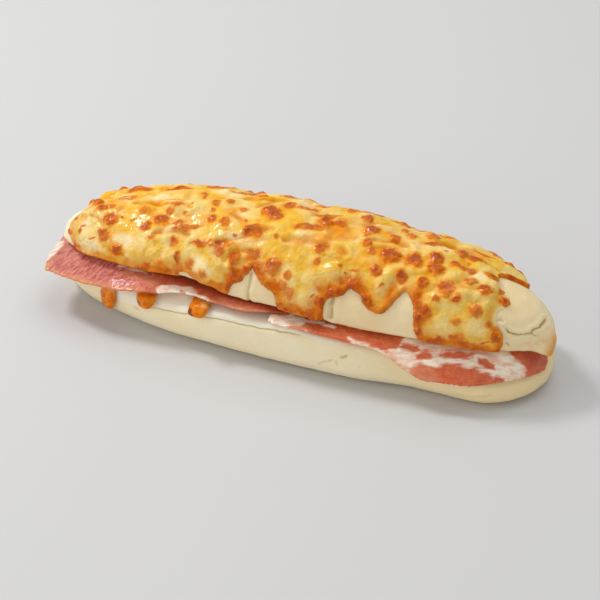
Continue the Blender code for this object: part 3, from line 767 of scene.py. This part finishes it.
def hang_of(edge, columns):
    """How far the sheet hangs below the lip at each column."""
    front = edge[edge[:, 1] < .5]
    lowest = np.interp(columns, *front[np.argsort(front[:, 0])].T)
    hang = np.maximum(LEAST_HANG, SPARE_HANG - lowest)
    return np.convolve(np.pad(hang, 1, mode="edge"), (.25, .5, .25), "valid")


def dome_grid(tree, columns, rows, hang, lips):
    """Where the sheet meets the bread: over the crown above the lip, straight down below it."""
    arcs = np.broadcast_to(rows[:, None], (len(rows), len(columns))).copy()
    arcs[:HANG_ROWS] = -hang[None, :] * np.linspace(1, 1 / HANG_ROWS, HANG_ROWS)[:, None]
    turns = lips[None, :] - arcs / ARC
    radius = np.zeros(arcs.shape)
    origin, way = ray_of(np.broadcast_to(columns, arcs.shape), turns)
    spots = np.arange(len(rows) - HANG_ROWS)
    for column in range(len(columns)):
        found = np.array([crown_radius(tree, origin[row, column], way[row, column])
                          for row in range(HANG_ROWS, len(rows))])
        known = np.isfinite(found)
        radius[HANG_ROWS:, column] = np.interp(spots, spots[known], found[known])
    base = origin + way * radius[..., None]
    base[:HANG_ROWS] = base[HANG_ROWS] + arcs[:HANG_ROWS, :, None] * (0, 0, 1)
    return base, arcs, turns


def grid_normals(points):
    """Outward normals of a grid whose rows climb from the lip and whose columns follow +X."""
    out = np.cross(np.gradient(points, axis=1), np.gradient(points, axis=0))
    for _ in range(4):
        padded = np.pad(out, ((1, 1), (1, 1), (0, 0)), mode="edge")
        beside = padded[:-2, 1:-1] + padded[2:, 1:-1] + padded[1:-1, :-2] + padded[1:-1, 2:]
        out = (beside + out) / 5
    return out / np.linalg.norm(out, axis=-1, keepdims=True)


def blisters():
    """The read blisters, with small ones strewn between them and a full set behind."""
    rng = np.random.default_rng(12)
    found = [(*row, 1)[:5] for row in BLISTERS]
    # How many tries, between which thetas, of which radii, and how dark at most.
    tries = ((150, -88, -36, 1, 2.6, .95), (75, -36, 84, .45, .95, .75))
    for count, low, high, least, most, darkest in tries:
        for _ in range(count):
            a, theta = rng.uniform(-106, 93), rng.uniform(low, high)
            radius = rng.uniform(least, most)
            dark, stretch = darkest * rng.uniform(.45, 1), rng.choice([1, 1, 1.6, 2.4])
            gaps = [np.hypot(a - b[0], (theta - b[1]) * ARC) - b[2] * max(b[4], 1) for b in found]
            if min(gaps) > radius * stretch + .8:
                found.append((a, theta, radius, dark, stretch))
    return found


def blister_fields(spots, a, theta):
    """Blisters: an amber dome, its dark heart nearer the upper left, gold round it."""
    blister, heart, darkness, gold, bumps = (np.zeros(len(a)) for _ in range(5))
    jagged = noise(spots / 1.7, 71) + .5 * noise(spots / .9, 72)
    bend = .9 * pair(spots / 3.4, 73) + .5 * pair(spots / 1.5, 75)
    bent_a, bent_theta = a + bend[:, 0] - SHIFT, theta + bend[:, 1] / ARC
    for place, turn, radius, dark, stretch in blisters():
        place, turn = place + 1.3 * smooth(0, -40, place), turn + 3.5 * smooth(70, 50, turn)
        radius = radius * (1 + .12 * smooth(45, 30, turn))
        near = (np.abs(a - place - SHIFT) < 14) & (np.abs(theta - turn) < 22)
        slanting = stretch > 1.5
        long, wide = radius * stretch, radius * (.85 if slanting else 1)
        off = bent_a[near] - place
        down = (bent_theta[near] - turn) * ARC + (.35 * off if slanting else 0)
        far = np.hypot(off / long, down / wide) + .22 * jagged[near]
        inner = np.hypot(off / long + .22, down / wide + .2) + .32 * jagged[near]
        rise = smooth(1.15, .3, far) * (1 + .3 * jagged[near]) * (.5 + .5 * dark)
        darkness[near] = np.where(MIDDLE - far > blister[near], dark, darkness[near])
        for field, value in ((bumps, BLISTER_HEIGHT * min(long, wide) * rise),
                             (blister, MIDDLE - far), (heart, MIDDLE - inner),
                             (gold, (.45 + .5 * dark) * smooth(1.7, 1, far))):
            field[near] = np.maximum(field[near], value)
    return bumps, {"blister": blister, "heart": heart, "dark": darkness, "gold": gold}


def cheese_relief(spots, a, arc, theta, top):
    """Height in mm of slanting pillows, small ones on them, folds and grain; and where it
    creases, which gets painted shade.
    """
    along = a * math.cos(PILLOW_LEAN) + arc * math.sin(PILLOW_LEAN)
    across = -a * math.sin(PILLOW_LEAN) + arc * math.cos(PILLOW_LEAN)
    drift = .3 * noise(spots / 14, 60)
    leaning = np.stack([along / 27 + drift, across / 11.5 + drift, 0 * a], -1)
    pillows = np.hypot(noise(leaning, 62), .05) * 2
    small = np.hypot(noise(spots / (8.5, 8.5, 7), 64), .07) * 2
    bent = np.stack([a - SHIFT, theta * ARC], -1) + .9 * pair(spots / 5, 67)
    fold, _ = strokes(bent, on_crown((path, 1) for path in FOLDS), 3, .88)
    relief = (.7 + top) * (np.minimum(pillows, 1) - .35)
    relief += (.4 + .3 * top) * (small - .35)
    relief += .36 * fractal(spots, 3.6, seed=63) + .2 * fractal(spots, 1.5, seed=66)
    relief += FOLD_SHOULDER * hump(fold - 2.6, 1.6) - FOLD_DEPTH * hump(fold, .9)
    return relief, np.maximum(smooth(.34, .1, pillows) * top, .9 * hump(fold, 1.5))


def browning(spots, a, arc, theta, inside, top, fuzzy, shaded_creases, fields):
    """Adds the browned rim, the painted shade in the creases and the pale, bare and wet places to
    the fields.
    """
    heat = np.interp(a, *RIM_HEAT)
    patchy = noise(spots / 4.2, 83) + .4 * noise(spots / 1.6, 84)
    blotch = noise(spots / 5.5, 97) + .35 * noise(spots / 2, 98) + .5 * (heat - .75)
    blotch = smooth(-.45, .2, blotch)
    front = np.maximum(smooth(28, 20, arc), smooth(-90, -97, a) * smooth(20, 40, theta))
    front = front * (1 - fuzzy)
    rim = smooth(4 + 6.5 * heat, 1.5, inside - 2.6 * patchy) * front
    crust = smooth(2 + 5 * heat, 1.6, inside - 3 * patchy) * front
    charred = smooth(.55, 1, heat) * smooth(-.25, .35, patchy) * blotch
    charred = charred * smooth(.8 + 2.8 * heat, .5, inside - 1.8 * patchy) * front
    back = smooth(60, 70, arc) * smooth(3, .5, inside - patchy)
    skyline = smooth(76, 80, a) * smooth(-8, -14, theta) * smooth(2.4, .6, inside - .9 * patchy)
    # In the creases, amber and gold are painted shade; elsewhere they are the browned rim, edges
    # and blisters.
    amber = np.maximum.reduce([
        .99 * crust * (.4 + .6 * heat) * (.6 + .4 * blotch), .6 * back, .95 * skyline,
        .45 * shaded_creases * smooth(0, .5, noise(spots / 5, 88))])
    gold = np.maximum.reduce([
        fields["gold"], .97 * rim * (.55 + .45 * heat),
        .8 * shaded_creases * smooth(-.5, .3, noise(spots / 6, 85)),
        .34 * smooth(0, .5, fractal(spots, 9, seed=86)) * (.35 + .65 * top)])
    pale = smooth(-.2, .25, fractal(spots, 10, seed=87)) * (1 - .15 * top)
    cream = np.zeros(len(a))
    for place, turn, long, wide in CREAM:
        off = (a - place - SHIFT + 2 * noise(spots / 5, 93)) / long
        down = ((theta - turn) * ARC + 2 * noise(spots / 5, 94)) / wide
        cream = np.maximum(cream, smooth(1.15, .35, np.hypot(off, down)))
    cream *= (.85 - .6 * smooth(25, 60, a) * (1 - top)) * (1 - amber) * (1 - .7 * gold)
    bare = smooth(3.5, .3, inside) * fuzzy * (1 - amber) * smooth(.6, .2, fields["blister"])
    wet = smooth(34, 24, arc) * (.45 + .55 * smooth(-.2, .3, noise(spots / 8, 89)))
    fields.update(
        amber=amber, gold=gold, cream=cream, bare=.85 * bare,
        core=np.maximum(.85 * charred, .7 * skyline * smooth(-.2, .4, patchy)),
        pale=pale * (1 - .65 * smooth(20, 70, a) * (1 - top)),
        wet=np.maximum(wet, .75 * smooth(.35, .9, fields["blister"])))


def baked_cheese(crown_mesh):
    tree = bvh_of(crown_mesh)
    columns = np.arange(FIRST_COLUMN, LAST_COLUMN, PITCH)
    rows = np.concatenate([np.zeros(HANG_ROWS), np.arange(0, BACK_START, RISE),
                           np.arange(BACK_START, LAST_ROW, BACK_RISE)])
    lips = lip_angles(tree, columns)
    edge = edge_in_plane(columns, lips)
    base, arcs, turns = dome_grid(tree, columns, rows, hang_of(edge, columns), lips)
    out = grid_normals(base)
    spots = base.reshape(-1, 3)
    a, arc, theta = np.broadcast_to(columns, arcs.shape).ravel(), arcs.ravel(), turns.ravel()
    inside = depth_in(np.stack([a, arc], -1) + .35 * pair(spots / 2.6, 51), edge)
    top = smooth(10, 32, arc)
    # Where the edge thins out without a browned rim: at the bare right end and the far left.
    fuzzy = smooth(80, 86, a) * smooth(66, 58, theta) * smooth(-22, -8, theta)
    fuzzy = unit(fuzzy + .5 * smooth(-96, -104, a))
    relief, shaded_creases = cheese_relief(spots, a, arc, theta, top)
    bumps, fields = blister_fields(spots, a, theta)
    browning(spots, a, arc, theta, inside, top, fuzzy, shaded_creases, fields)

    # Thickness over the bread: a round rim, thin beside it, full further in.
    inward = inside / (1 + .9 * fuzzy)
    depth = RIM_DEPTH * (1 - .85 * fuzzy) + RIM_BEAD * bell(inside, 1.5, 1.5) * (1 - fuzzy)
    depth += (SHEET_DEPTH + TOP_DEPTH * top) * smooth(1.5, 10, inward)
    round_rim = np.sqrt(unit(1 - (1 - unit(inside / 1.3)) ** 2))
    thick = depth * round_rim + relief * smooth(.6, 6, inward)
    thick += bumps * smooth(-.2, 1, inside)
    thick = np.where(inside > 0, np.maximum(thick, .25 * round_rim),
                     -EDGE_SINK * smooth(0, .8, -inside))
    over = base + thick.reshape(arcs.shape)[..., None] * out
    last = len(rows) - 1
    kept = np.array([*range(HANG_ROWS + 2), *range(HANG_ROWS + 2, last, KEEP_EVERY), last])
    mesh, points = closed_sheet("baked_cheese", over, base - SINK * out, kept)
    for name, values in fields.items():
        below = values.reshape(arcs.shape)[kept].ravel()
        fields[name] = np.concatenate([values, below])
    link("baked_cheese", mesh, points, cheese_finish(), "cheese_topping", "browned_cheese",
         **fields)


# ---- Bacon ----

GRAIN = (.946, .326)  # cosine and sine of the fibres' lean
FAT_RISE, STEPPED_EDGE = .14, .6  # mm

# Outlines in (x, -y) mm: white fat, and lean within it; the left slice's last fat outline is a
# painted sheen.
# Tinted zones also have a blur in mm and a strength.
LEFT_FATS_AND_SHEEN = (
    ((-50, 27.6), (-48.5, 25.6), (-45, 24.6), (-40, 24.4), (-36, 24.2), (-34, 25.4), (-32.5, 27),
     (-30, 26.8), (-27, 27.4), (-26, 29.5), (-30, 33), (-46, 33)),
    ((-70, 19.6), (-64, 20), (-57, 21), (-57, 21.8), (-64, 21.2), (-70, 20.4)),
    # A painted sheen on the tip's lit left edge, in the fat's pale colour.
    ((-106, 6), (-101.8, 6), (-100.8, 11), (-101.8, 16), (-103.5, 19.5), (-106, 19.5)),
)
LEFT_LEANS = (
    ((-41, 26.2), (-38, 26.2), (-37, 27.4), (-40, 27.6)),
)
LEFT_ZONES = {
    # Painted shade where the slice runs under the crown's lip.
    "shade_under_crown": (
        (((-62, 17), (-45, 22.5), (-30, 24.2), (-12, 25.8), (4, 27.6), (8, 22), (8, 14),
          (-62, 10)), 1.8, .8),
    ),
    "salmon": (
        (((-97, 25.5), (-88, 28), (-75, 29.5), (-60, 29.8), (-46, 28.6), (-46, 34), (-97, 34)),
         1, .9),
        (((-67, 21.5), (-56, 22.2), (-49, 24), (-52, 27), (-60, 25.6), (-67, 24)), 1.6, .8),
        (((-27, 27), (-14, 27.6), (0, 28.6), (4, 34), (-27, 34)), 1, .75),
    ),
    "toasted": (
        (((-106, 21.6), (-101, 21.4), (-98.6, 23.5), (-98.6, 28), (-106, 28)), .8, .9),
        (((-97, 26.8), (-86, 30.2), (-70, 30.9), (-70, 34), (-97, 34)), .6, .35),
    ),
}
RIGHT_FATS = (
    ((-4, 25), (1, 26.5), (5, 25.4), (9, 25.6), (12, 27), (11.5, 29.5), (8, 31), (2, 34),
     (-4, 34)),
    ((5, 24), (12, 24.6), (20, 24.6), (24.5, 25.6), (24, 26.8), (19, 26.4), (12, 26.2), (5, 26)),
    ((13.5, 30.2), (16, 30.6), (18.5, 31.4), (21, 31), (21, 31.9), (18, 32.3), (14.5, 31.4)),
    ((26.5, 22.8), (34, 22.9), (34, 23.4), (26.5, 23.5)),
    ((31, 28.8), (34, 28.9), (38, 29), (42, 28.9), (46, 28.3), (49.5, 27.4), (50.2, 25),
     (51.5, 22.6), (56, 19), (66, 10), (70, -40), (112, -40), (112, 36), (36, 36), (34, 31.2)),
)
RIGHT_LEANS = (
    ((49.8, 26.3), (51.5, 24.6), (54, 23.8), (57, 23.6), (58, 24.8), (56, 26.2), (52, 27)),
    ((57, 26.6), (58.5, 25.2), (61, 24.7), (63.5, 25), (64, 26.2), (61.5, 27.2), (58.5, 27.4)),
    ((66, 24), (69, 22.3), (74, 21.2), (78, 20.2), (80, 20.6), (77, 22.4), (73, 23.7), (69, 24.8),
     (66.5, 24.9)),
    ((80, 20.8), (83, 19.6), (86, 19.8), (87, 21), (84, 22.2), (81, 22.3)),
    ((57.5, 29.2), (60, 28), (63, 28.2), (66.5, 27.9), (68.5, 26.5), (72.3, 25.2), (76, 24.7),
     (80, 23.8), (83.7, 23.2), (87.5, 22.2), (90, 21.4), (92.6, 20.8), (93.6, 23), (90, 36),
     (58, 36), (56.5, 31)),
    ((88.5, 12.5), (92.5, 13.6), (95.5, 13.6), (98, 14.4), (99, 16.5), (104, 17), (106, 10),
     (104, -6), (90, -6)),
    ((52, 20.2), (60, 21), (66, 20), (76, 17.5), (84, 14), (88, 8), (90, -36), (52, -36)),
)
RIGHT_ZONES = {
    # Painted shade where the slice runs under the crown and its right end.
    "shade_under_crown": (
        (((8, 20), (26, 22.5), (44, 22.8), (56, 21.6), (70, 19.8), (84, 14), (84, 8), (8, 10)),
         1.4, .6),
        (((88, 12), (96, 12.2), (101, 8), (104, -6), (88, -6)), 1.6, .35),
    ),
    "salmon": (
        (((6, 28), (11.5, 27), (15, 28.5), (12, 33), (4, 33)), .9, .9),
        (((56, 28.5), (66, 28.6), (68, 30), (66, 36), (56, 36)), 1.2, .6),
    ),
    "toasted": (
        (((49, 29.4), (53, 30), (58, 31.4), (58, 36), (44, 36)), .7, .55),
        (((93.2, 18.6), (97, 16.2), (100, 14.8), (104, 16), (98, 24), (93, 24)), .9, .5),
        (((77.4, 19.6), (79.2, 20.2), (78.8, 21.6), (77.6, 21.4)), .4, .7),
    ),
}


def front_of(x, y, step=1.5, width=1):
    """Y of a slice's front edge at each x, evened over width steps."""
    bins = np.floor((x - x.min()) / step).astype(int)
    lowest = np.full(bins.max() + 1, np.inf)
    np.minimum.at(lowest, bins, y)
    lowest[~np.isfinite(lowest)] = np.nanmax(lowest[np.isfinite(lowest)])
    lowest = np.convolve(np.pad(lowest, width // 2, mode="edge"), np.ones(width) / width, "valid")
    return np.interp(x, x.min() + (np.arange(len(lowest)) + .5) * step, lowest)


def bacon_slice(node, name, finish, fats, leans, zones, voxel, rounds, pinks, lift=0,
                close_up=None):
    """One slice. pinks are its pinkness on the right and at the far left of the roll.

    A lifted slice has its front edge evened and raised by lift mm. close_up draws the front
    edge in from one x to another by some mm.
    """
    mesh, points, out = fine_copy(node, voxel, rounds)
    if close_up:
        start, end, amount = close_up
        x, y, _ = points.T
        closing = amount * smooth(start, end, x) * smooth(-18, -24, y)
        points = points + closing[:, None] * (-.3, 1, -.15)
    x, y, z = points.T
    reach = y - front_of(x, y)
    if lift:
        uneven = front_of(x, y, STEPPED_EDGE, 9) - front_of(x, y, STEPPED_EDGE)
        y = y + np.clip(uneven, -.8, .8) * smooth(3, .4, reach) * smooth(102, 98, x)
        points = np.stack([x, y, z], -1)
    warp = np.stack([.9 * noise(points / 4, 91), .55 * noise(points / 3, 92)], -1)
    plane = np.stack([x, -y], -1) + warp
    streaks = np.stack([x + 2 * y, y * 6 + .6 * x, 0 * x], -1)
    streaks = fractal(streaks, (34, 30, 10), 3, seed=95)
    fat = -2.2 + 4 * smooth(8.5, 11, reach) * (streaks - .05)
    for outline in fats:
        fat = np.maximum(fat, depth_in(plane, outline))
    for outline in leans:
        fat = np.minimum(fat, -depth_in(plane, outline))
    fields = {field: np.maximum.reduce([
        strength * smooth(-blur, blur, depth_in(plane, outline))
        for outline, blur, strength in shapes]) for field, shapes in zones.items()}
    pink = pinks[0] + (pinks[1] - pinks[0]) * smooth(-48, -66, x)
    grain = np.stack([GRAIN[0] * x - GRAIN[1] * y, GRAIN[1] * x + GRAIN[0] * y, z], -1)
    ripple = .24 * noise(points / (7, 5, 9), 101)
    ripple += .17 * noise(grain / (1.2, 5, 3), 99) * pink + FAT_RISE * smooth(-.4, .6, fat)
    frill = noise_along(x, 6.5, 103) * smooth(5, 0, reach)
    moved = points + out * ripple[:, None] * .9
    moved[:, 2] += np.clip(.33 * frill, -.15, .35)
    moved[:, 2] += lift * smooth(7, 3, reach) * smooth(20, 40, x)
    moved[:, 1] += .8 * noise_along(x, 8, 105) * smooth(4, 0, reach)
    moved[:, 1] -= .5 * lift * smooth(3, .5, reach)
    link(name, mesh, moved, finish, node, "bacon", fat=np.clip(fat, -2, 2), pink=pink, **fields)


# ---- Melted cheese ----

MELTED_VOXEL, MELTED_ROUNDS = .42, 9
BULB, NECK, PINCH = .55, .3, .35  # mm out, in and sideways on a drip

# Drips: place along the roll, half width, lowest height, height of the browned part, in mm.
DRIPS = ((-73.8, 3.8, 6, 9.5), (-55.6, 4.1, 13.4, 6.4), (-31.8, 4.3, 17.2, 4.8))


def melted_cheese():
    mesh, points, out = fine_copy("cheese_filling", MELTED_VOXEL, MELTED_ROUNDS)
    x, y, z = points.T
    bulb, neck, brown, burnt, pinch = (np.zeros(len(x)) for _ in range(5))
    for place, half, lowest, browned in DRIPS:
        near = np.abs(x - place) < half * 1.6
        off, fall = (x - place)[near], (z - lowest)[near]
        ragged = fall + noise(points[near] / 2.2, 113) + .15 * off
        corner = np.hypot(off + .55 * half, fall - .6) + .5 * noise(points[near] / 1.5, 114)
        bulb[near] = smooth(6.5, 2, fall) * bell(off, 0, half * 1.3)
        neck[near] = smooth(4, 8, fall)
        brown[near] = smooth(browned + 1, browned - 1.4, ragged)
        burnt[near] = smooth(2.1, .9, corner)
        pinch[near] = off / half * smooth(3.6, .2, fall)
    drip = smooth(-15, -19, y)
    swell = .24 * noise(points / 2.6, 111) + .08 * noise(points / 1.1, 112)
    height = (swell + BULB * bulb - NECK * neck) * drip + .1 * (1 - drip)
    moved = points + out * height[:, None]
    moved[:, 0] -= PINCH * pinch * drip
    link("melted_cheese", mesh, moved, melted_finish(), "cheese_filling", "melted_cheese",
         brown=unit(brown * drip), burnt=unit(burnt * drip))


# ---- Floor, light and camera ----

FLOOR_HALF, FLOOR_DROP = 3, .0001  # metres
FLOOR_COLOUR = (.625, .63, .635, 1)

# Area lights facing the roll: name, place and size in metres, power in watts, colour.
LIGHTS = (
    ("key", (-.66, .12, .88), .26, 5.05, (1, .985, .96)),
    ("top", (.1, .5, 1.3), 1.2, 5, (1, .99, .98)),
    ("side", (-.95, -.75, .42), .9, 4.15, (1, .98, .95)),
    ("front", (.62, -1.02, .18), 1.1, 2.5, (1, .98, .94)),
)
LIGHT_TARGET = Vector((0, 0, .02))
SKY_COLOUR, SKY_STRENGTH = (1, .995, .985, 1), .46

CAMERA_TARGET = (-.0063, .015)  # where its axis meets the floor
CAMERA_AZIMUTH, CAMERA_ELEVATION = 21.5, 36
CAMERA_HEIGHT = .4886
CAMERA_LENS, CAMERA_SENSOR = 121.74, 36


def floor():
    mesh = bpy.data.meshes.new("floor")
    corners = [(x * FLOOR_HALF, y * FLOOR_HALF, -FLOOR_DROP)
               for x, y in ((-1, -1), (1, -1), (1, 1), (-1, 1))]
    mesh.from_pydata(corners, [], [(0, 1, 2, 3)])
    finish = Finish("floor", Base_Color=FLOOR_COLOUR, Roughness=.55, Specular_IOR_Level=.3)
    mesh.materials.append(finish.material)
    piece = in_scene("floor", mesh)


def aim(made, place, target):
    made.location = place
    made.rotation_euler = (target - made.location).to_track_quat("-Z", "Y").to_euler()


def lights():
    for name, place, size, power, colour in LIGHTS:
        data = bpy.data.lights.new(name, "AREA")
        data.shape = "DISK"
        data.size, data.energy, data.color = size, power, colour
        aim(in_scene(name, data), place, LIGHT_TARGET)
    world = bpy.data.worlds.new("studio")
    world.use_nodes = True
    sky = world.node_tree.nodes["Background"].inputs
    sky["Color"].default_value, sky["Strength"].default_value = SKY_COLOUR, SKY_STRENGTH
    bpy.context.scene.world = world


def camera():
    data = bpy.data.cameras.new("camera")
    data.lens, data.sensor_width = CAMERA_LENS, CAMERA_SENSOR
    made = in_scene("camera", data)
    turn, rise = math.radians(CAMERA_AZIMUTH), math.radians(CAMERA_ELEVATION)
    away = CAMERA_HEIGHT / math.tan(rise)
    x, y = CAMERA_TARGET
    place = (x + away * math.sin(turn), y - away * math.cos(turn), CAMERA_HEIGHT)
    aim(made, place, Vector((x, y, 0)))
    bpy.context.scene.camera = made


# ---- Assembly ----

bread = bread_finish()
bacon = bacon_finish()
camera()
heel(bread)
baked_cheese(crown(bread))
bacon_slice("bacon_left", "bacon_slice_left", bacon, LEFT_FATS_AND_SHEEN, LEFT_LEANS, LEFT_ZONES,
            voxel=.55, rounds=4, pinks=(.25, 1), close_up=(-10, 8, 5))
bacon_slice("bacon_right", "bacon_slice_right", bacon, RIGHT_FATS, RIGHT_LEANS, RIGHT_ZONES,
            voxel=.48, rounds=10, pinks=(.1, .1), lift=.4)
melted_cheese()
floor()
lights()
bpy.context.scene.view_settings.view_transform = "Standard"
